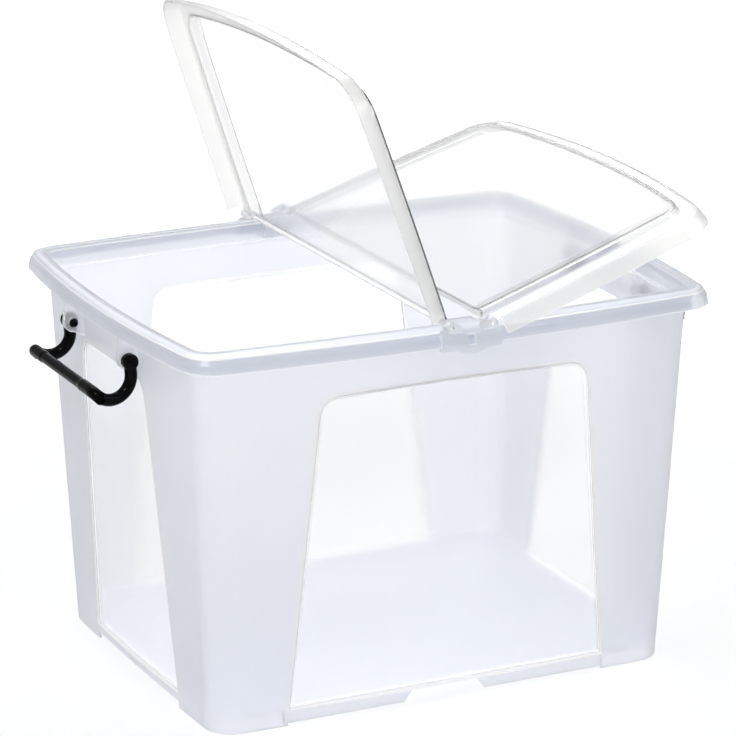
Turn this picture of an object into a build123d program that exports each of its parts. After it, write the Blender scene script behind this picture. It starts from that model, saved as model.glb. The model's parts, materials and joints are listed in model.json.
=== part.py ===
"""Portable file box: a clear stacking tub with a split folding lid and swing handles.

Millimetres, +Z up, +X along the length, front wall facing -Y. The origin is the
middle of the base, on the surface that the feet stand on. Seven mouldings: the tub,
two lid flaps, two hinge clips that snap over the long rims and two carry handles.
"""
from build123d import *

import math
import os
from dataclasses import dataclass, replace

# ---- Tub, overall -------------------------------------------------------------
tub_length = 498.0          # over the skirt, middle of the ends
tub_width = 400.0           # over the skirt, middle of the long sides
tub_height = 330.0          # feet to rim
wall = 2.2
end_inset = 37.0            # skirt to foot, lengthways: half a length of draft
side_inset = 36.2           # skirt to foot, crossways
foot_bow_x = 3.6
foot_bow_y = 2.0
foot_radius = 26.0

# ---- Rim: collar, flat ledge and flared skirt ---------------------------------
skirt_drop = 14.3
skirt_wall = 2.0
skirt_bow_x = 15.0
skirt_bow_y = 11.7
skirt_radius = 29.0
rim_bands = 3                # flats that make up the flare
ledge_inset_x = 10.0        # skirt's lower edge to ledge's outer edge
ledge_inset_y = 13.6
ledge_bow_x = 11.7
ledge_bow_y = 8.3
ledge_radius = 18.5
ledge_width_x = 5.0
ledge_width_y = 6.2
collar_radius = 16.0
collar_depth = 18.0
collar_step = 3.0           # how far the wall steps in below the collar
shoulder_radius = 26.0

# ---- Base ---------------------------------------------------------------------
foot_height = 12.0
floor_thickness = 2.4
rail_inset = 6.0            # front and back rails stand in from the corner posts
rail_gap_low = 75.0
rail_gap_high = 57.0
end_arch_height = 6.0

# ---- Recessed windows ---------------------------------------------------------
window_recess = 2.2
window_step = 3.2           # width of the slanted step round a window
window_top_drop = 50.0      # rim to window
window_bottom = 15.0
window_radius = 16.0
side_window_top_width = 240.0
side_window_foot_width = 292.0
end_window_top_width = 130.0
end_window_foot_width = 176.0

# ---- Handle lugs and handles --------------------------------------------------
pivot_spacing = 134.0       # between the middles of the two arms
pivot_drop = 33.0           # rim to pivot axis
pivot_reach = 7.9           # pivot axis to the outside of the end wall
lug_thickness = 5.0
lug_radius = 8.0
lug_rise = 30.0             # top of the lug above the pivot, just under the ledge
lug_fall = 13.0             # root of the lug below the pivot
pin_radius = 3.0
pin_running_gap = 0.06
side_gap = 0.5              # free play beside a lug
head_radius = 6.8
head_thickness = 9.6
head_round = 2.4
head_bands = 2
snap_radius = 4.0           # barb behind the lug that keeps the pin in
snap_length = 3.6
snap_tip_radius = 2.2
arm_lean = 4.6              # the arms lean in along the draft of the end wall
hook_drop = 59.0            # pivot to the corner that the hook is rounded from
hook_radius = 18.0
grip_reach = 31.4           # pivot to grip, outward
grip_drop = 22.2
grip_splay = 3.8            # how far each elbow stands outside its arm
elbow_radius = 7.5
arm_radius = 5.2
grip_radius = 4.6
grip_span = 80.0            # length of the slimmer middle of the grip
grip_shoulder = 4.0         # taper at each end of it

# ---- Lid flaps ----------------------------------------------------------------
lid_wall = 1.8
lid_seat_gap = 0.5          # between the ledge and the flange when shut
lid_end_gap = 1.2           # tub skirt to lid skirt, ends
lid_side_gap = 1.3          # tub skirt to lid skirt, long sides
lid_skirt_depth = 14.5
lid_skirt_flare = 3.7
lid_edge_radius = 5.0
lid_bands = 2
lid_bow_x = 14.5
lid_bow_y = 11.7
lid_radius = 33.0
panel_rise = 6.5
panel_draft = 2.6
panel_round = 2.0
panel_end_margin = 18.0     # lid's free edge to the foot of the raised panel
panel_side_margin = 17.0
dish_depth = 1.8            # the panel sinks again inside its raised edge
dish_land = 2.0             # width of the raised edge
dish_slope = 12.0           # width of the slope inside it
panel_bow_x = 12.0
panel_bow_y = 9.0
panel_radius = 26.0

# ---- Hinge --------------------------------------------------------------------
hinge_offset = 18.5         # each hinge axis from the middle of the box
hinge_pin_radius = 2.0
hinge_running_gap = 0.06
ear_radius = 4.2
ear_thickness = 2.4
boss_radius = 4.4
boss_depth = 6.4            # along the pin
boss_side_gap = 0.4         # ear to boss
pin_setback = 0.5           # pin tip to the boss's outer face
pin_bite = 0.4              # how far a hinge pin runs into its ear
plate_half_width = 27.0     # the clip's front plate, which hides the hinge
plate_corner = 7.0
plate_end_gap = 1.4         # front plate to the flap's skirt beside it
saddle_half_width = 11.2
clip_wall = 2.2
clip_gap = 0.35             # clip to rim
clip_leg_depth = 16.5
clip_hook = 2.6
clip_brow = 4.8             # skirt's lower edge to where the clip's front curves back
clip_window_width = 7.2
clip_window_height = 8.4
tab_width = 27.0
tab_drop = 7.0

# ---- How it stands at rest ----------------------------------------------------
left_open = 71.0
right_open = 18.0


@dataclass(frozen=True)
class Outline:
    """Rounded rectangle whose sides swell outward between the corners."""

    half_x: float
    half_y: float
    bow_x: float
    bow_y: float
    radius: float

    def inset(self, by, by_y=None):
        """Same outline moved inward, with its corners kept concentric."""
        by_y = by if by_y is None else by_y
        return replace(
            self,
            half_x=self.half_x - by,
            half_y=self.half_y - by_y,
            radius=self.radius - min(by, by_y),
        )

    def face(self, z):
        corner_x = self.half_x - self.bow_x
        corner_y = self.half_y - self.bow_y
        right = ThreePointArc((corner_x, -corner_y), (self.half_x, 0), (corner_x, corner_y))
        back = ThreePointArc((corner_x, corner_y), (0, self.half_y), (-corner_x, corner_y))
        left = ThreePointArc((-corner_x, corner_y), (-self.half_x, 0), (-corner_x, -corner_y))
        front = ThreePointArc((-corner_x, -corner_y), (0, -self.half_y), (corner_x, -corner_y))
        flat = Face(Wire([right, back, left, front]))
        return Pos(0, 0, z) * flat.fillet_2d(self.radius, flat.vertices())


def between(low, high, share):
    """Outline a given share of the way from one outline to another."""
    values = [
        getattr(low, name) * (1 - share) + getattr(high, name) * share
        for name in ("half_x", "half_y", "bow_x", "bow_y", "radius")
    ]
    return Outline(*values)


def taper(low, low_z, high, high_z):
    return loft([low.face(low_z), high.face(high_z)], ruled=True)


def quarter(steps):
    """Cosine and sine at equal steps through a right angle, for a rounded edge."""
    angles = [math.radians(90 * step / steps) for step in range(steps + 1)]
    return [(math.cos(angle), math.sin(angle)) for angle in angles]


def block(x, y, z):
    """Box between two values on each axis."""
    middle = Pos(sum(x) / 2, sum(y) / 2, sum(z) / 2)
    return middle * Box(abs(x[1] - x[0]), abs(y[1] - y[0]), abs(z[1] - z[0]))


# ---- Sizes that follow --------------------------------------------------------
skirt_edge = Outline(tub_length / 2, tub_width / 2, skirt_bow_x, skirt_bow_y, skirt_radius)
foot = Outline(tub_length / 2 - end_inset, tub_width / 2 - side_inset, foot_bow_x, foot_bow_y, foot_radius)
ledge = Outline(
    skirt_edge.half_x - ledge_inset_x, skirt_edge.half_y - ledge_inset_y,
    ledge_bow_x, ledge_bow_y, ledge_radius,
)
mouth = Outline(
    ledge.half_x - ledge_width_x, ledge.half_y - ledge_width_y,
    ledge_bow_x, ledge_bow_y, collar_radius,
)
shoulder_z = tub_height - collar_depth
shoulder = replace(mouth.inset(collar_step - wall), radius=shoulder_radius)
floor_top = foot_height + floor_thickness

window_top = tub_height - window_top_drop
pivot_height = tub_height - pivot_drop
pivot_x = -(shoulder.half_x - (shoulder.half_x - foot.half_x) * (1 - pivot_height / shoulder_z) + pivot_reach)
arm_y = pivot_spacing / 2
lug_outer_y = arm_y - arm_radius - side_gap
lug_inner_y = lug_outer_y - lug_thickness

lid_z = tub_height + lid_seat_gap + lid_wall
lid_edge = Outline(
    skirt_edge.half_x + lid_end_gap + lid_wall, skirt_edge.half_y + lid_side_gap + lid_wall,
    lid_bow_x, lid_bow_y, lid_radius,
)
panel_foot = Outline(
    lid_edge.half_x - panel_end_margin, lid_edge.half_y - panel_side_margin,
    panel_bow_x, panel_bow_y, panel_radius,
)
hinge_z = lid_z
boss_outer_y = lid_edge.half_y
boss_inner_y = boss_outer_y - boss_depth
ear_outer_y = boss_inner_y - boss_side_gap


def wall_outline(z, inset=0.0):
    """Outside of the drafted wall at a height, moved inward by inset."""
    return between(foot, shoulder, z / shoulder_z).inset(inset)


def wall_solid(inset, low_z, high_z):
    return taper(wall_outline(low_z, inset), low_z, wall_outline(high_z, inset), high_z)


def window_outline(top_width, foot_width, grow):
    """Trapezoid with rounded top corners, seen square on, grown outward on all sides."""
    top = window_top + grow
    low = window_bottom - grow
    slope = (foot_width - top_width) / 2 / window_top
    half_top = top_width / 2 + grow
    half_low = half_top + slope * (top - low)
    outline = Polyline((-half_low, low), (-half_top, top), (half_top, top), (half_low, low), close=True)
    flat = make_face(outline)
    return fillet(flat.vertices().sort_by(Axis.Y)[-2:], window_radius + grow)


def window_tool(top_width, foot_width, half_foot, half_shoulder, offset):
    """Splayed plug that fits a window in the -Y wall, its sides moved out by offset."""
    draft = math.atan((half_shoulder - half_foot) / shoulder_z)
    wall_plane = Plane(
        origin=(0, -half_foot, 0), x_dir=(1, 0, 0), z_dir=(0, -math.cos(draft), -math.sin(draft))
    )
    splay = window_step / window_recess
    reach = 2 * (window_recess + wall)
    levels = (-reach, reach)
    outlines = [
        wall_plane.offset(level)
        * window_outline(top_width, foot_width, (level + window_recess) * splay + offset * math.hypot(1, splay))
        for level in levels
    ]
    return loft(outlines, ruled=True)


def windowed_walls():
    """Floor and drafted walls, with four windows set in between the corner posts."""
    body = wall_solid(0, foot_height, shoulder_z) - wall_solid(wall, floor_top, shoulder_z)
    deep = wall_solid(0, foot_height, shoulder_z) - wall_solid(window_recess + wall, floor_top, shoulder_z)
    skin = wall_solid(-1.0, foot_height, shoulder_z) - wall_solid(window_recess, foot_height, shoulder_z)
    side = (side_window_top_width, side_window_foot_width, foot.half_y, shoulder.half_y)
    end = (end_window_top_width, end_window_foot_width, foot.half_x, shoulder.half_x)
    for sizes, turns in ((side, (0, 180)), (end, (90, -90))):
        for turn in turns:
            body += deep & Rot(0, 0, turn) * window_tool(*sizes, wall)
            body -= skin & Rot(0, 0, turn) * window_tool(*sizes, 0)
    return body


def rim():
    """Collar that steps out of the wall, flat ledge, and skirt that flares over."""
    outer = []
    inner = []
    for cosine, sine in quarter(rim_bands):
        section = between(ledge, skirt_edge, sine)
        outer.append(section.face(tub_height - skirt_drop * (1 - cosine)))
        inner_drop = skirt_wall + (skirt_drop - skirt_wall) * (1 - cosine)
        inner.append(section.inset(skirt_wall).face(tub_height - inner_drop))
    skirt = loft(outer, ruled=True) - loft(inner, ruled=True)
    collar = extrude(mouth.inset(-wall).face(shoulder_z - wall), collar_depth + wall)
    collar -= extrude(wall_outline(shoulder_z, wall).face(shoulder_z - wall), wall)
    return skirt + collar - extrude(mouth.face(shoulder_z), collar_depth)


def feet():
    """Corner posts that reach the ground, arches at the ends and inset side rails."""
    ring = wall_solid(0, 0, foot_height) - wall_solid(wall, 0, foot_height)
    side_span = side_window_foot_width
    ring -= Box(side_span, tub_width, foot_height * 2)
    ring -= Box(tub_length, end_window_foot_width, end_arch_height * 2)
    rail_outer_y = foot.half_y - rail_inset
    gap = Polyline(
        (-rail_gap_low / 2, 0), (-rail_gap_high / 2, foot_height),
        (rail_gap_high / 2, foot_height), (rail_gap_low / 2, 0), close=True,
    )
    gap_cut = extrude(Plane.XZ * make_face(gap), tub_width, both=True)
    for side in (-1, 1):
        rail = Pos(0, side * (rail_outer_y - wall / 2), foot_height / 2) * Box(
            side_span + 2 * wall, wall, foot_height
        )
        ring += rail - gap_cut
        return_length = foot.half_y - rail_outer_y + wall
        for end in (-1, 1):
            ring += Pos(
                end * (side_span + wall) / 2, side * (foot.half_y - return_length / 2 - wall / 4), foot_height / 2
            ) * Box(wall, return_length - wall / 2, foot_height)
    return ring


def handle_lug(y_middle):
    """Upright ear under the skirt at the -X end, with the pivot hole through it."""
    root_low = pivot_height - lug_fall
    root_high = pivot_height + lug_rise
    mid_wall = wall / 2

    def sag(outline):
        return outline.bow_x * (y_middle / (outline.half_y - outline.bow_y)) ** 2

    def root_x(z):
        outline = wall_outline(z)
        return -(outline.half_x - sag(outline) - mid_wall)

    step_z = shoulder_z - mid_wall
    collar_x = -(mouth.half_x - sag(mouth) + mid_wall)
    plate = make_face(Polyline(
        (root_x(root_low), root_low),
        (pivot_x - lug_radius * math.sqrt(0.5), pivot_height - lug_radius * math.sqrt(0.5)),
        (pivot_x - lug_radius, pivot_height),
        (-(skirt_edge.half_x - sag(skirt_edge) - skirt_wall / 2), tub_height - skirt_drop + skirt_wall / 2),
        (-(ledge.half_x - sag(ledge)), root_high),
        (collar_x, root_high),
        (collar_x, step_z),
        (root_x(step_z), step_z),
        close=True,
    ))
    profile = plate + Pos(pivot_x, pivot_height) * Circle(lug_radius)
    profile -= Pos(pivot_x, pivot_height) * Circle(pin_radius + pin_running_gap)
    return extrude(Plane.XZ.offset(-y_middle) * profile, lug_thickness / 2, both=True)


def tub():
    body = windowed_walls() + rim() + feet()
    lug_y = (lug_outer_y + lug_inner_y) / 2
    for side in (-1, 1):
        lug = handle_lug(side * lug_y)
        body += lug
        body += mirror(lug, about=Plane.YZ)
    return body


def pivot_end():
    """Rounded head, pin and snap barb in one turned shape: axis on +Z, head at the foot."""
    lug_far_side = arm_y + head_thickness / 2 - lug_inner_y + side_gap
    bottom_round = [
        (head_radius - head_round * (1 - sine), head_round * (1 - cosine))
        for cosine, sine in quarter(head_bands)
    ]
    top_round = [(radius, head_thickness - height) for radius, height in reversed(bottom_round)]
    profile = Polyline(
        (0, 0), *bottom_round, *top_round,
        (pin_radius, head_thickness), (pin_radius, lug_far_side),
        (snap_radius, lug_far_side), (snap_tip_radius, lug_far_side + snap_length),
        (0, lug_far_side + snap_length), close=True,
    )
    return revolve(Plane.XZ * make_face(profile), Axis.Z)


def grip_groove():
    """Ring that slims the middle of the grip: axis on +Y, centred."""
    half = grip_span / 2
    profile = make_face(Polyline(
        (grip_radius, -half), (arm_radius, -half - grip_shoulder), (2 * arm_radius, -half - grip_shoulder),
        (2 * arm_radius, half + grip_shoulder), (arm_radius, half + grip_shoulder), (grip_radius, half), close=True,
    ))
    return revolve(profile, Axis.Y)


def handle():
    """Hooked bail at the -X end: two pivots, hooks that swing clear of the rim, and grip."""
    lean_x = pivot_x + arm_lean
    hook_z = pivot_height - hook_drop
    grip_x = pivot_x - grip_reach
    grip_z = pivot_height - grip_drop
    elbow_y = arm_y + grip_splay
    points = [
        (pivot_x, arm_y, pivot_height),
        (lean_x, arm_y, hook_z),
        (grip_x, elbow_y, grip_z),
        (grip_x, -elbow_y, grip_z),
        (lean_x, -arm_y, hook_z),
        (pivot_x, -arm_y, pivot_height),
    ]
    path = FilletPolyline(*points, radius=[hook_radius, elbow_radius, elbow_radius, hook_radius])
    section = Plane(origin=points[0], z_dir=(arm_lean, 0, -hook_drop)) * Circle(arm_radius)
    bail = sweep(section, path=path) - Pos(grip_x, 0, grip_z) * grip_groove()
    for side in (-1, 1):
        outside = side * (arm_y + head_thickness / 2)
        bail += Plane(origin=(pivot_x, outside, pivot_height), z_dir=(0, -side, 0)) * pivot_end()
    return bail


def domed(edge, low_z, top_z, draft, radius):
    """Drafted slab whose top edge is rounded over in ruled bands."""
    crown = edge.inset(draft)
    rounded = [
        crown.inset(radius * (1 - cosine)).face(top_z - radius * (1 - sine))
        for cosine, sine in quarter(lid_bands)
    ]
    return loft([edge.face(low_z), *rounded], ruled=True)


def dish(drop):
    """Shallow sink in the top of the raised panel, moved down by drop."""
    rim_edge = panel_foot.inset(panel_draft + panel_round + dish_land)
    top_z = lid_z + panel_rise - drop
    return taper(rim_edge.inset(dish_slope), top_z - dish_depth, rim_edge, top_z)


def lid_shell():
    """Rim flange, down-turned skirt and raised panel of the whole lid, as if in one."""
    skirt_low = lid_z - lid_skirt_depth
    under = lid_z - lid_wall
    panel_top = lid_z + panel_rise
    shell = domed(lid_edge, skirt_low, lid_z, lid_skirt_flare, lid_edge_radius)
    shell -= domed(lid_edge.inset(lid_wall), skirt_low, under, lid_skirt_flare, lid_edge_radius - lid_wall)
    shell += domed(panel_foot, under, panel_top, panel_draft, panel_round) - dish(0)
    hollow = domed(
        panel_foot.inset(lid_wall), under, panel_top - lid_wall, panel_draft, panel_round - lid_wall / 2
    )
    return shell - (hollow - dish(lid_wall))


def lid_flap():
    """Right-hand flap, shut: half the lid, an end wall, and an ear and pin each side."""
    skirt_low = lid_z - lid_skirt_depth
    flap = lid_shell() & block((hinge_offset, tub_length), (-tub_width, tub_width), (0, 2 * lid_z))
    end_wall_y = panel_foot.half_y - panel_draft - panel_round
    flap += block(
        (hinge_offset, hinge_offset + lid_wall),
        (-end_wall_y, end_wall_y), (lid_z - lid_wall, lid_z + panel_rise - dish_depth),
    )
    for side in (-1, 1):
        flap -= block(
            (0, plate_half_width + plate_end_gap), (side * ear_outer_y, side * tub_width), (skirt_low, lid_z),
        )
        ear = Pos(hinge_offset, side * (ear_outer_y - ear_thickness / 2), hinge_z) * Rot(90, 0, 0)
        flap += ear * Cylinder(ear_radius, ear_thickness)
        pin_root_y = ear_outer_y - pin_bite
        pin_tip_y = boss_outer_y - pin_setback
        pin = Pos(hinge_offset, side * (pin_root_y + pin_tip_y) / 2, hinge_z) * Rot(90, 0, 0)
        flap += pin * Cylinder(hinge_pin_radius, pin_tip_y - pin_root_y)
    return flap


def clip_section():
    """Outline of the front clip across the rim: inner leg, saddle, front and hook."""
    leg_y = mouth.half_y - clip_gap
    shell_y = skirt_edge.half_y + clip_gap
    edge_z = tub_height - skirt_drop
    hook_y = shell_y - clip_hook
    hook_z = edge_z - clip_gap
    foot_z = hook_z - clip_wall
    under_z = tub_height + clip_gap
    top_z = under_z + clip_wall
    front_y = lid_edge.half_y
    brow_y = ledge.half_y + clip_wall
    brow_z = edge_z + clip_brow
    bend_y = (brow_y + front_y) / 2 + clip_wall
    bend_z = (top_z + brow_z) / 2 + clip_wall
    over_rim = [
        (-(ledge.half_y + (shell_y - ledge.half_y) * sine), edge_z + (under_z - edge_z) * cosine)
        for cosine, sine in quarter(rim_bands)
    ]
    return make_face([
        Polyline(
            (-brow_y, top_z), (-(leg_y - clip_wall), top_z), (-(leg_y - clip_wall), tub_height - clip_leg_depth),
            (-leg_y, tub_height - clip_leg_depth), (-leg_y, under_z), *over_rim,
            (-shell_y, hook_z), (-hook_y, hook_z), (-hook_y, foot_z), (-front_y, foot_z), (-front_y, brow_z),
        ),
        ThreePointArc((-front_y, brow_z), (-bend_y, bend_z), (-brow_y, top_z)),
    ])


def front_plate():
    """The clip's front, wider than its saddle, with its upper corners rounded."""
    foot_z = tub_height - skirt_drop - clip_gap - clip_wall
    outline = make_face(Polyline(
        (-plate_half_width, foot_z), (-plate_half_width, hinge_z), (plate_half_width, hinge_z),
        (plate_half_width, foot_z), close=True,
    ))
    outline = fillet(outline.vertices().sort_by(Axis.Y)[-2:], plate_corner)
    plate = extrude(Plane.YZ * clip_section(), plate_half_width, both=True)
    return plate & extrude(Plane.XZ.offset(boss_inner_y) * outline, boss_depth)


def hinge_clip():
    """Front clip: a saddle snapped over the rim, with a hinge boss at either end."""
    clip = extrude(Plane.YZ * clip_section(), saddle_half_width, both=True) + front_plate()
    edge_z = tub_height - skirt_drop
    shell_y = skirt_edge.half_y + clip_gap
    shell_wall = lid_edge.half_y - shell_y
    shell_middle_y = -(shell_y + lid_edge.half_y) / 2
    release_hole = Pos(0, shell_middle_y, edge_z + clip_window_height / 2 + 1) * Box(
        clip_window_width, 3 * shell_wall, clip_window_height
    )
    half_moon = Pos(0, edge_z) * Ellipse(tab_width / 2, tab_drop)
    half_moon &= Pos(0, edge_z - tab_drop) * Rectangle(tab_width, 2 * (tab_drop - clip_gap))
    tab = extrude(Plane.XZ.offset(-shell_middle_y) * half_moon, shell_wall / 2, both=True)
    root_x = saddle_half_width - clip_wall
    arm = Polyline(
        (root_x, hinge_z - boss_radius), (hinge_offset, hinge_z - boss_radius),
        (hinge_offset, hinge_z + boss_radius), (root_x, tub_height + clip_gap + clip_wall), close=True,
    )
    boss = make_face(arm) + Pos(hinge_offset, hinge_z) * Circle(boss_radius)
    boss_plane = Plane.XZ.offset((boss_outer_y + boss_inner_y) / 2)
    arms = extrude(boss_plane * boss, boss_depth / 2, both=True)
    pin_hole = Pos(hinge_offset, -(boss_outer_y + boss_inner_y) / 2, hinge_z) * Rot(90, 0, 0) * Cylinder(
        hinge_pin_radius + hinge_running_gap, 2 * boss_depth
    )
    body = (clip - release_hole) + tab + arms + mirror(arms, about=Plane.YZ)
    return body - pin_hole - mirror(pin_hole, about=Plane.YZ)


def opened(flap, side, degrees):
    """Turn a shut flap about its own hinge axis; side is +1 for the right-hand one."""
    axis = Axis((side * hinge_offset, 0, hinge_z), (0, -side, 0))
    return flap.rotate(axis, degrees)


def main():
    os.makedirs("parts", exist_ok=True)
    flap = lid_flap()
    clip = hinge_clip()
    bail = handle()
    nodes = {
        "tub": tub(),
        "lid_flap_left": opened(mirror(flap, about=Plane.YZ), -1, left_open),
        "lid_flap_right": opened(flap, 1, right_open),
        "hinge_clip_front": clip,
        "hinge_clip_back": mirror(clip, about=Plane.XZ),
        "handle_left": bail,
        "handle_right": mirror(bail, about=Plane.YZ),
    }
    for name, solid in nodes.items():
        export_step(solid, f"parts/{name}.step")


if __name__ == "__main__":
    main()
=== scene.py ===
# %% [markdown]
# # Portable file box
# A clear stacking tub with a folding lid in two flaps, two snap-on hinge clips and two
# black carry handles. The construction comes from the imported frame. This script gives
# each plastic its finish, and sets up the floor, the lamps and the camera.

# %% Load the frame
import json
import math

import bmesh
import bpy
from mathutils import Matrix, Vector

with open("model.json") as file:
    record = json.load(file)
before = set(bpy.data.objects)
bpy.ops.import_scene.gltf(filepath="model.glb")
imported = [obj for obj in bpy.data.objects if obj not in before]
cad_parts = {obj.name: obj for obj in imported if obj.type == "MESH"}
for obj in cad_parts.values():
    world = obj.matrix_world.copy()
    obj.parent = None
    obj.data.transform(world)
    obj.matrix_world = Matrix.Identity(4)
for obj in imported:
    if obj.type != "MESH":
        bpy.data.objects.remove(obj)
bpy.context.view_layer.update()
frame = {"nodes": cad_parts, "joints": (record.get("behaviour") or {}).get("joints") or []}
nodes = frame["nodes"]
joints = {joint["name"]: joint for joint in frame["joints"]}
print("nodes:", ", ".join(sorted(nodes)))

# %% [markdown]
# ## Camera
# A long lens from the front and left, a little above the box, keeps the upright corner
# posts nearly parallel. The camera is placed by its own three directions, because that
# holds its small roll exactly.

# %% Camera
lens_length = 181.544            # mm, on a sensor 36 mm wide
camera_place = Vector((-1.30760, -2.72229, 1.16843))
camera_right = Vector((0.900708, -0.434424, -0.000394)).normalized()
camera_up = Vector((0.127869, 0.264249, 0.955940)).normalized()
camera_back = camera_right.cross(camera_up)

camera_data = bpy.data.cameras.new("camera")
camera_data.lens = lens_length
camera_data.clip_end = 50.0
camera = bpy.data.objects.new("camera", camera_data)
bpy.context.scene.collection.objects.link(camera)
turn = Matrix((camera_right, camera_up, camera_back)).transposed()
camera.matrix_world = Matrix.Translation(camera_place) @ turn.to_4x4()
bpy.context.scene.camera = camera
print("camera stands", round(camera_place.length, 2), "m away")

# %% [markdown]
# ## Material helpers
# Each finish is a small node tree. These helpers add a node and join its sockets, so
# that a finish below reads as a list of what the plastic does.

# %% Node helpers
def new_material(name):
    material = bpy.data.materials.new(name)
    material.use_nodes = True
    material.node_tree.nodes.clear()
    return material


def feed(tree, socket, value):
    """Link a socket to another one, or set it to a plain number or colour."""
    if isinstance(value, bpy.types.NodeSocket):
        tree.links.new(value, socket)
    elif isinstance(value, tuple) and len(value) == 3 and socket.type == "RGBA":
        socket.default_value = (*value, 1.0)
    else:
        socket.default_value = value


def add(tree, kind, **sockets):
    """A new node whose sockets are fed by name, with spaces written as underscores."""
    node = tree.nodes.new("ShaderNode" + kind)
    for name, value in sockets.items():
        feed(tree, node.inputs[name.replace("_", " ")], value)
    return node


def maths(tree, operation, *values):
    node = tree.nodes.new("ShaderNodeMath")
    node.operation = operation
    for socket, value in zip(node.inputs, values):
        feed(tree, socket, value)
    return node.outputs[0]


def mix_colour(tree, share, low, high):
    node = tree.nodes.new("ShaderNodeMix")
    node.data_type = "RGBA"
    feed(tree, node.inputs["Factor"], share)
    feed(tree, node.inputs[6], low)
    feed(tree, node.inputs[7], high)
    return node.outputs[2]


def mix_number(tree, share, low, high):
    """Low where share is 0, high where it is 1."""
    node = tree.nodes.new("ShaderNodeMix")
    feed(tree, node.inputs["Factor"], share)
    feed(tree, node.inputs[2], low)
    feed(tree, node.inputs[3], high)
    return node.outputs[0]


def smooth_step(tree, value, start, end):
    """0 below start, 1 above end, with a soft change between."""
    node = add(tree, "MapRange", Value=value, From_Min=start, From_Max=end)
    node.interpolation_type = "SMOOTHSTEP"
    return node.outputs["Result"]


def split(tree, vector):
    return add(tree, "SeparateXYZ", Vector=vector).outputs


def object_coordinates(tree):
    return add(tree, "TexCoord").outputs["Object"]


def noise(tree, vector, scale, detail=2.0):
    return add(tree, "TexNoise", Vector=vector, Scale=scale, Detail=detail).outputs["Fac"]


# %% [markdown]
# ## Edges
# A moulding has no sharp edges: the mould leaves a small round on each, and in clear
# plastic that round gathers light and shows as a white line. A Bevel node rounds the
# normals as it renders. Where its normal leaves the flat one, there is an edge, so the
# same node also says where a line is painted into the colour: a painted highlight on the
# tub and the clips, painted shade on the lid.

# %% Edge helpers
def rounded_normal(tree, radius):
    node = add(tree, "Bevel", Radius=radius)
    node.samples = 6
    return node.outputs["Normal"]


def edge_share(tree, soft_normal, start, end):
    """1 on the rounded edge bands, 0 on the faces between them, where lines are painted."""
    agree = tree.nodes.new("ShaderNodeVectorMath")
    agree.operation = "DOT_PRODUCT"
    feed(tree, agree.inputs[0], soft_normal)
    feed(tree, agree.inputs[1], add(tree, "NewGeometry").outputs["Normal"])
    return smooth_step(tree, maths(tree, "SUBTRACT", 1.0, agree.outputs["Value"]), start, end)


def grained_normal(tree, height, distance, strength, soft_normal=None):
    node = add(tree, "Bump", Height=height, Distance=distance, Strength=strength)
    if soft_normal:
        feed(tree, node.inputs["Normal"], soft_normal)
    return node.outputs["Normal"]


# %% [markdown]
# ## Light through the plastic
# Cycles treats glass as a solid blocker for the rays that go to lamps, which would leave
# a black shadow under a clear box. A Transparent shader for just those rays lets most of
# their light through, as thin plastic does.

# %% Shared plastic
polypropylene_ior = 1.49
light_let_through = (0.93, 0.94, 0.955)


def clear_plastic(material, **sockets):
    """Finish a material as see-through plastic whose Principled sockets are given."""
    tree = material.node_tree
    shader = add(tree, "BsdfPrincipled", IOR=polypropylene_ior, **sockets)
    passing = add(tree, "BsdfTransparent", Color=light_let_through)
    to_lamp = add(tree, "LightPath").outputs["Is Shadow Ray"]
    both = tree.nodes.new("ShaderNodeMixShader")
    feed(tree, both.inputs[0], to_lamp)
    feed(tree, both.inputs[1], shader.outputs[0])
    feed(tree, both.inputs[2], passing.outputs[0])
    output = tree.nodes.new("ShaderNodeOutputMaterial")
    feed(tree, output.inputs["Surface"], both.outputs[0])
    return material


# %% [markdown]
# ## Tub windows
# Each wall has a window, recessed by about the thickness of the wall, with slanted sides
# and round upper corners. The mould is polished there. The windows could be faces with a
# material of their own, but the tub is one moulding with one material slot, so a mask
# finds them: it measures how far a point lies outside the window's outline.

# %% Windows
window_bottom = 0.015
window_top = 0.280
window_radius = 0.016
window_soft_edge = 0.0016
step_width = 0.0032
side_window_half_low = 0.146     # half the width of a long side's window at the base
side_window_half_high = 0.120    # and at window_top
end_window_half_low = 0.088
end_window_half_high = 0.065
side_wall_start = 0.153          # the long sides lie further from the middle than this
end_wall_start = 0.203


def window_share(tree, along, up, half_low, half_high, grow):
    """1 inside the window outline of one pair of walls, grown by some metres, 0 outside."""
    slope = (half_low - half_high) / window_top
    radius = window_radius + grow
    half_here = maths(tree, "MULTIPLY_ADD", up, -slope, half_low + grow)
    past_side = maths(tree, "SUBTRACT", maths(tree, "ABSOLUTE", along), half_here)
    past_top = maths(tree, "SUBTRACT", up, window_top + grow)
    past_foot = maths(tree, "SUBTRACT", window_bottom - grow, up)
    in_corner_x = maths(tree, "MAXIMUM", maths(tree, "ADD", past_side, radius), 0.0)
    in_corner_z = maths(tree, "MAXIMUM", maths(tree, "ADD", past_top, radius), 0.0)
    squares = maths(
        tree, "MULTIPLY_ADD", in_corner_x, in_corner_x,
        maths(tree, "MULTIPLY", in_corner_z, in_corner_z),
    )
    outside = maths(tree, "SUBTRACT", maths(tree, "SQRT", squares), radius)
    outside = maths(tree, "MAXIMUM", outside, past_foot)
    inside = maths(tree, "MULTIPLY", outside, -1.0)
    return smooth_step(tree, inside, -window_soft_edge / 2, window_soft_edge / 2)


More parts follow.
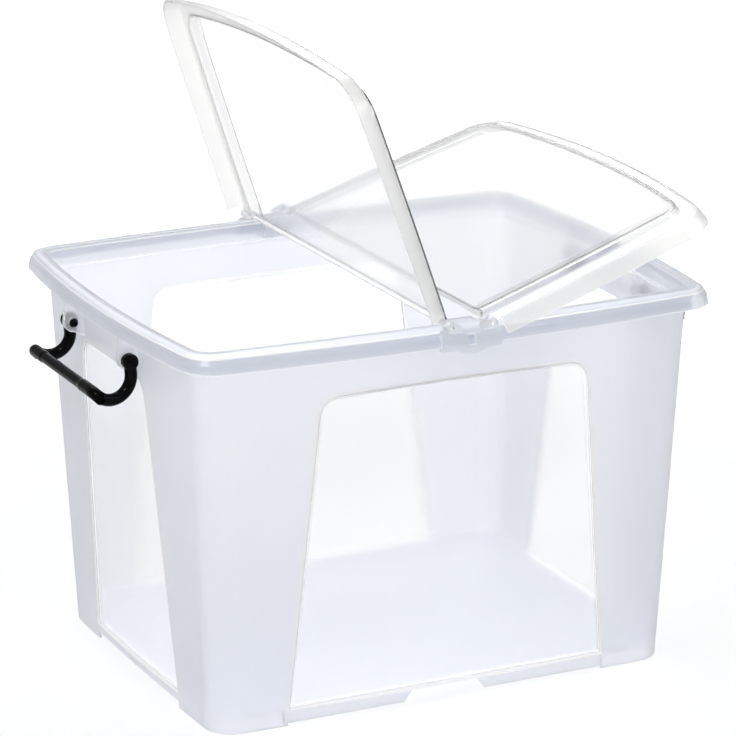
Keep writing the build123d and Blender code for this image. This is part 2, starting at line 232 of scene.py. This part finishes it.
def all_windows(tree, x, y, z, grow):
    """1 inside any of the four windows."""
    on_side = maths(tree, "GREATER_THAN", maths(tree, "ABSOLUTE", y), side_wall_start)
    on_end = maths(tree, "GREATER_THAN", maths(tree, "ABSOLUTE", x), end_wall_start)
    side = window_share(tree, x, z, side_window_half_low, side_window_half_high, grow)
    end = window_share(tree, y, z, end_window_half_low, end_window_half_high, grow)
    on_sides = maths(tree, "MULTIPLY", side, on_side)
    on_ends = maths(tree, "MULTIPLY", end, on_end)
    return maths(tree, "MAXIMUM", on_sides, on_ends)


print("side windows", 2 * side_window_half_low, "m wide at the base, end ones", 2 * end_window_half_low)

# %% [markdown]
# ## Rim and lugs
# At the top the wall steps out to a collar, a level ledge and a flared skirt, and four
# lugs under the ends of the rim carry the handles. Both could be traced as the windows
# are, but simpler masks will do: height finds the rim, and whatever stands further out
# than any wall is a lug or the end of the rim.

# %% Rim and lugs
shoulder_height = 0.3135         # the wall steps out to the collar just under this
shoulder_soft_edge = 0.002
# The fold of the ledge gets a painted highlight line at this height.
ledge_highlight_height = 0.3272
ledge_highlight_fade = (0.0003, 0.0008)
lug_start = 0.2345               # only the lugs and the rim stand further out than this
lug_soft_edge = 0.001


def rim_share(tree, z):
    """1 on the collar, the ledge and the skirt, 0 on the walls."""
    half = shoulder_soft_edge / 2
    return smooth_step(tree, z, shoulder_height - half, shoulder_height + half)


def ledge_highlight_share(tree, z):
    """1 on the thin line where the ledge turns down into the skirt, where a highlight is painted."""
    off_line = maths(tree, "ABSOLUTE", maths(tree, "SUBTRACT", z, ledge_highlight_height))
    return maths(tree, "SUBTRACT", 1.0, smooth_step(tree, off_line, *ledge_highlight_fade))


def lug_share(tree, x):
    """1 on the handle lugs and on the ends of the rim, 0 on the walls."""
    half = lug_soft_edge / 2
    return smooth_step(tree, maths(tree, "ABSOLUTE", x), lug_start - half, lug_start + half)


print("rim starts at", shoulder_height, "m, lugs at", lug_start, "m from the middle")

# %% [markdown]
# ## Tub plastic
# The tub is polypropylene. Its windows are clear, while the walls, the posts and the feet
# come from an etched mould and are frosted. The rim and the lugs lie between the two:
# satin, and the rim's colour is painted greyer as painted shade on the same plastic.
# White lines are painted as highlights where the slanted step round each window and
# the fold of the ledge catch the light, and on the rounded edges. Roughness does the
# frosting, rather than a white colour, so that what stands behind a wall still shows
# through it, blurred.

# %% Tub plastic
tub_edge_radius = 0.0018
tub_edge_fade = (0.05, 0.12)     # how far the rounded normal turns before an edge is white
etched_gloss = (0.30, 0.42)      # roughness, between the extremes of the grain
satin_gloss = 0.28
window_gloss = 0.03
etched_clearness = 0.76
window_clearness = 0.975
highlight_line_clearness = 0.10
etched_grain_depth = 0.00003


def tub_plastic():
    material = new_material("tub_plastic")
    tree = material.node_tree
    place = object_coordinates(tree)
    x, y, z = split(tree, place)
    clear = all_windows(tree, x, y, z, 0.0)
    # A painted highlight: a white band on the slanted step round each window.
    window_step_highlight = maths(tree, "SUBTRACT", all_windows(tree, x, y, z, step_width), clear)
    rim = rim_share(tree, z)
    satin = maths(tree, "MAXIMUM", rim, lug_share(tree, x))
    # A painted highlight on every rounded edge of the tub, and below on the ledge's fold.
    fold_highlight_share = edge_share(tree, rounded_normal(tree, tub_edge_radius), *tub_edge_fade)
    painted_edge_lines = maths(tree, "MAXIMUM", fold_highlight_share, window_step_highlight)
    painted_edge_lines = maths(tree, "MAXIMUM", painted_edge_lines, ledge_highlight_share(tree, z))
    cloud = noise(tree, place, 14.0)
    etched = mix_colour(tree, cloud, (0.91, 0.925, 0.975), (0.945, 0.955, 0.985))
    lug = mix_colour(tree, satin, etched, (0.93, 0.94, 0.965))
    # Painted shade: the rim, of the same plastic, is painted greyer than the walls.
    collar = mix_colour(tree, rim, lug, (0.80, 0.825, 0.875))
    body = mix_colour(tree, clear, collar, (0.98, 0.983, 0.99))
    grain = noise(tree, place, 900.0)
    etched_roughness = mix_number(tree, grain, *etched_gloss)
    satin_roughness = mix_number(tree, satin, etched_roughness, satin_gloss)
    clearness = mix_number(tree, clear, etched_clearness, window_clearness)
    return clear_plastic(
        material,
        # The painted highlight lines are white and much less see-through.
        Base_Color=mix_colour(tree, painted_edge_lines, body, (0.99, 0.992, 0.998)),
        Roughness=mix_number(tree, clear, satin_roughness, window_gloss),
        Transmission_Weight=mix_number(tree, painted_edge_lines, clearness, highlight_line_clearness),
        Normal=grained_normal(tree, grain, etched_grain_depth, 1.0),
    )


tub_finish = tub_plastic()
print("tub plastic has", len(tub_finish.node_tree.nodes), "nodes")

# %% [markdown]
# ## The shut lid
# Each flap is one moulding: a skirt, a flange, and a raised panel with a shallow sink. On
# the shut lid, height alone tells them apart, but both flaps stand open. Masks for two
# slants would be hard to read, so the coordinates are turned back about each hinge
# instead, and one set of heights serves both flaps.

# %% The shut lid
steep = (0.45, 0.85)             # how level a face is where it stops counting as a wall


def shut_coordinates(tree, joint):
    """Object coordinates turned back about a hinge to where they are with the lid shut."""
    node = add(
        tree, "VectorRotate",
        Vector=object_coordinates(tree), Center=tuple(joint["pos_m"]), Axis=tuple(joint["axis"]),
        Angle=math.radians(joint["range_deg"][0]),
    )
    return node.outputs["Vector"]


def wall_share(tree, joint):
    """1 on faces that stand steeply when the lid is shut, 0 on level ones."""
    turned = add(
        tree, "VectorRotate",
        Vector=add(tree, "TexCoord").outputs["Normal"], Axis=tuple(joint["axis"]),
        Angle=math.radians(joint["range_deg"][0]),
    )
    level = maths(tree, "ABSOLUTE", split(tree, turned.outputs["Vector"])["Z"])
    return maths(tree, "SUBTRACT", 1.0, smooth_step(tree, level, *steep))


print("lid turned back by", [joints[name]["range_deg"][0] for name in ("lid_left", "lid_right")])

# %% [markdown]
# ## Lid plastic
# The lid is thinner than the tub. Its raised panel is polished and almost invisible. The
# panel's side wall and the slope of its sink are seen at a slant and read as grey bands,
# so painted shade gives them a grey tint. The flange and the skirt are satin, faintly
# milky and a little warm. They could be polished too, but then their many small curves
# break the light into dark streaks. Thin grey lines of painted shade run along the edges.

# %% Lid plastic
flange_top = 0.3323              # height of the flange's upper face on the shut lid
skirt_start = 0.3290             # the flange turns down into the skirt about here
skirt_turn = 0.002               # height over which it does
raised_fade = (0.0006, 0.0018)   # the panel's wall rises out of the flange over this
sink_floor = 0.33705             # just above the floor of the shallow sink in the panel
sink_edge = 0.3388
lid_edge_radius = 0.0009
small_edge_fade = (0.03, 0.20)
panel_clearness = 0.965
flange_clearness = 0.86
skirt_clearness = 0.72
lid_shade_line_clearness = 0.35
panel_gloss = (0.03, 0.09)
satin_added = 0.27               # the flange and the skirt are rougher than the panel by this
fine_grain_depth = 0.00001


def lid_plastic(name, joint):
    material = new_material(name)
    tree = material.node_tree
    place = shut_coordinates(tree, joint)
    z = split(tree, place)["Z"]
    raised = smooth_step(tree, z, *(flange_top + rise for rise in raised_fade))
    sink_painted_shade = add(tree, "MapRange", Value=z, From_Min=sink_floor, From_Max=sink_edge).outputs[0]
    wall_painted_shade = wall_share(tree, joint)
    soft_normal = rounded_normal(tree, lid_edge_radius)
    painted_edge_lines = edge_share(tree, soft_normal, *small_edge_fade)
    cloud = noise(tree, place, 11.0)
    above_skirt = smooth_step(tree, z, skirt_start - skirt_turn, skirt_start)
    skirt = maths(tree, "SUBTRACT", 1.0, above_skirt)
    milky = mix_colour(tree, cloud, (0.955, 0.953, 0.943), (0.97, 0.968, 0.96))
    # Painted shade: grey from the panel's top edge, fading to clear on the sink's floor, and grey on
    # the panel's steep side wall.
    panel = mix_colour(tree, sink_painted_shade, (0.985, 0.985, 0.982), (0.70, 0.70, 0.695))
    panel = mix_colour(tree, wall_painted_shade, panel, (0.78, 0.783, 0.787))
    body = mix_colour(tree, raised, milky, panel)
    grain = noise(tree, place, 300.0)
    gloss = mix_number(tree, grain, *panel_gloss)
    border_clear = mix_number(tree, skirt, flange_clearness, skirt_clearness)
    body_clear = mix_number(tree, raised, border_clear, panel_clearness)
    return clear_plastic(
        material,
        # Painted shade: thin grey lines along the flap's rounded edges.
        Base_Color=mix_colour(tree, painted_edge_lines, body, (0.80, 0.80, 0.79)),
        Roughness=mix_number(tree, raised, maths(tree, "ADD", gloss, satin_added), gloss),
        Transmission_Weight=mix_number(tree, painted_edge_lines, body_clear, lid_shade_line_clearness),
        Normal=grained_normal(tree, grain, fine_grain_depth, 1.0, soft_normal),
    )


left_finish = lid_plastic("lid_plastic_left", joints["lid_left"])
right_finish = lid_plastic("lid_plastic_right", joints["lid_right"])
print("lid plastic has", len(left_finish.node_tree.nodes), "nodes")

# %% [markdown]
# ## Clip plastic
# Two hinge clips snap over the long rims and hold the pins of both flaps. They are small,
# thick for their size and satin, so they look whiter than the lid that turns in them. The
# tub's plastic would need its masks moved for them, so they get a short recipe of their
# own. Its roughness stays above the satin's throughout, which keeps it even when the
# picture is denoised.

# %% Clip plastic
small_edge_radius = 0.0008
clip_gloss = (0.29, 0.36)
clip_clearness = 0.70
clip_highlight_line_clearness = 0.25


def clip_plastic():
    material = new_material("clip_plastic")
    tree = material.node_tree
    place = object_coordinates(tree)
    painted_edge_lines = edge_share(tree, rounded_normal(tree, small_edge_radius), *small_edge_fade)
    cloud = noise(tree, place, 40.0)
    satin = mix_colour(tree, cloud, (0.84, 0.86, 0.90), (0.87, 0.885, 0.92))
    grain = noise(tree, place, 700.0)
    return clear_plastic(
        material,
        # A painted highlight: white lines along the clip's rounded edges.
        Base_Color=mix_colour(tree, painted_edge_lines, satin, (0.985, 0.99, 0.995)),
        Roughness=mix_number(tree, grain, *clip_gloss),
        Transmission_Weight=mix_number(tree, painted_edge_lines, clip_clearness, clip_highlight_line_clearness),
        Normal=grained_normal(tree, grain, fine_grain_depth, 1.0),
    )


clip_finish = clip_plastic()
print("clip plastic has", len(clip_finish.node_tree.nodes), "nodes")

# %% [markdown]
# ## Handle plastic
# The handles are glossy black polypropylene. Plain black would do from afar. Close by, a
# slight unevenness in gloss and a very shallow flow texture keep the highlights from
# looking like painted metal. The white room would lie on black as a grey veil, so the
# handles mirror little.

# %% Handle plastic
handle_mirror = 0.08
handle_gloss = (0.09, 0.14)
flow_depth = 0.0002
flow_strength = 0.4


def handle_plastic():
    material = new_material("handle_plastic")
    tree = material.node_tree
    place = object_coordinates(tree)
    flow = noise(tree, place, 60.0, 3.0)
    grain = noise(tree, place, 500.0)
    soft_normal = rounded_normal(tree, small_edge_radius)
    shader = add(
        tree, "BsdfPrincipled", IOR=polypropylene_ior, Specular_IOR_Level=handle_mirror,
        Base_Color=mix_colour(tree, flow, (0.0008, 0.0008, 0.001), (0.002, 0.002, 0.0025)),
        Roughness=mix_number(tree, grain, *handle_gloss),
        Normal=grained_normal(tree, flow, flow_depth, flow_strength, soft_normal),
    )
    output = tree.nodes.new("ShaderNodeOutputMaterial")
    feed(tree, output.inputs["Surface"], shader.outputs[0])
    return material


handle_finish = handle_plastic()
print("handle plastic has", len(handle_finish.node_tree.nodes), "nodes")

# %% [markdown]
# ## Dress the pieces
# The meshes of the seven mouldings come from the frame and stay as they are. Each has one
# material slot, so dressing a piece means putting its finish in that slot. A piece is
# matched by how its name starts, so the two clips share a finish and so do the handles.

# %% Dress the pieces
finishes = {
    "tub": tub_finish,
    "lid_flap_left": left_finish,
    "lid_flap_right": right_finish,
    "hinge_clip": clip_finish,
    "handle": handle_finish,
}
for name, node in nodes.items():
    family = next(start for start in finishes if name.startswith(start))
    node.data.materials[0] = finishes[family]
    print(name, "wears", finishes[family].name)

# %% [markdown]
# ## Room
# The room is plain white. To the camera and through the plastic it shows at a strength of
# 1, which is white. In reflections it shows at less than half of that, as the dim room behind
# the lamps of a studio does. Its light on the box is 0.7, and the lamps make up the rest.

# %% Room
room_light = 0.70
reflected_share = 0.4
world = bpy.data.worlds.new("studio")
bpy.context.scene.world = world
world.use_nodes = True
sky = world.node_tree
sky.nodes.clear()


def shown_share(tree):
    """1 for rays that see a thing straight or through plastic, reflected_share mirrored."""
    path = add(tree, "LightPath").outputs
    seen = maths(tree, "MAXIMUM", path["Is Camera Ray"], path["Is Transmission Ray"])
    mirrored = maths(tree, "MULTIPLY", path["Is Glossy Ray"], reflected_share)
    return maths(tree, "MAXIMUM", seen, mirrored)


def room_strength(tree):
    """1 where the room is seen, reflected_share where it is mirrored, or room_light."""
    path = add(tree, "LightPath").outputs
    lit = mix_number(tree, path["Is Glossy Ray"], room_light, reflected_share)
    seen = maths(tree, "MAXIMUM", path["Is Camera Ray"], path["Is Transmission Ray"])
    return mix_number(tree, seen, lit, 1.0)


air = add(sky, "Background", Color=(1.0, 1.0, 1.0), Strength=room_strength(sky))
feed(sky, add(sky, "OutputWorld").inputs["Surface"], air.outputs[0])
print("room lights at", room_light, "and mirrors at", reflected_share)

# %% [markdown]
# ## Floor
# The floor is a wide pale sheet. Near the box it shows the box's shadow, and further off
# it brightens to the same white as the room, so that no horizon shows.

# %% Floor
floor_half = 6.0
floor_albedo = 0.55
shadow_reach = (0.5, 1.6)        # m from the middle, where the floor turns to plain white
floor_glow = (0.42, 0.74)        # near the box and far from it


def floor_material():
    material = new_material("floor_white")
    tree = material.node_tree
    place = object_coordinates(tree)
    away = tree.nodes.new("ShaderNodeVectorMath")
    away.operation = "LENGTH"
    feed(tree, away.inputs[0], place)
    far = smooth_step(tree, away.outputs["Value"], *shadow_reach)
    paper = add(tree, "BsdfDiffuse", Color=(floor_albedo, floor_albedo, floor_albedo))
    glow_here = mix_number(tree, far, *floor_glow)
    glow_strength = maths(tree, "MULTIPLY", shown_share(tree), glow_here)
    glow = add(tree, "Emission", Strength=glow_strength)
    both = tree.nodes.new("ShaderNodeAddShader")
    feed(tree, both.inputs[0], paper.outputs[0])
    feed(tree, both.inputs[1], glow.outputs[0])
    feed(tree, add(tree, "OutputMaterial").inputs["Surface"], both.outputs[0])
    return material


floor_mesh = bpy.data.meshes.new("floor")
floor_grid = bmesh.new()
bmesh.ops.create_grid(floor_grid, x_segments=1, y_segments=1, size=floor_half)
floor_grid.to_mesh(floor_mesh)
floor_grid.free()
floor = bpy.data.objects.new("floor", floor_mesh)
bpy.context.scene.collection.objects.link(floor)
floor_mesh.materials.append(floor_material())
print("floor", 2 * floor_half, "m across")

# %% [markdown]
# ## Lamps
# Three softboxes stand round the box, weak enough that white plastic doesn't clip. The
# key is small, so that it draws crisp white highlights on the handles and rounded edges.

# %% Lamps
def softbox(name, place, aim, width, height, power):
    data = bpy.data.lights.new(name, "AREA")
    data.shape = "RECTANGLE"
    data.size = width
    data.size_y = height
    data.energy = power
    lamp = bpy.data.objects.new(name, data)
    lamp.location = place
    lamp.rotation_euler = (Vector(aim) - Vector(place)).to_track_quat("-Z", "Y").to_euler()
    bpy.context.scene.collection.objects.link(lamp)
    return lamp


box_middle = (0.0, 0.0, 0.2)
lamps = [
    softbox("key_left", (-1.5, -1.3, 2.0), box_middle, 0.25, 0.50, 16.0),
    softbox("fill_right", (1.9, -1.2, 1.3), box_middle, 0.6, 0.9, 8.0),
    softbox("top_back", (0.2, 1.3, 2.2), box_middle, 1.2, 0.6, 12.0),
]
print("lamps give", sum(lamp.data.energy for lamp in lamps), "W in all")

# %% [markdown]
# ## View
# The Standard view shows a colour about as it is written. The filmic views soften whites,
# which would turn the white room grey.

# %% View
bpy.context.scene.view_settings.view_transform = "Standard"
print("view", bpy.context.scene.view_settings.view_transform)
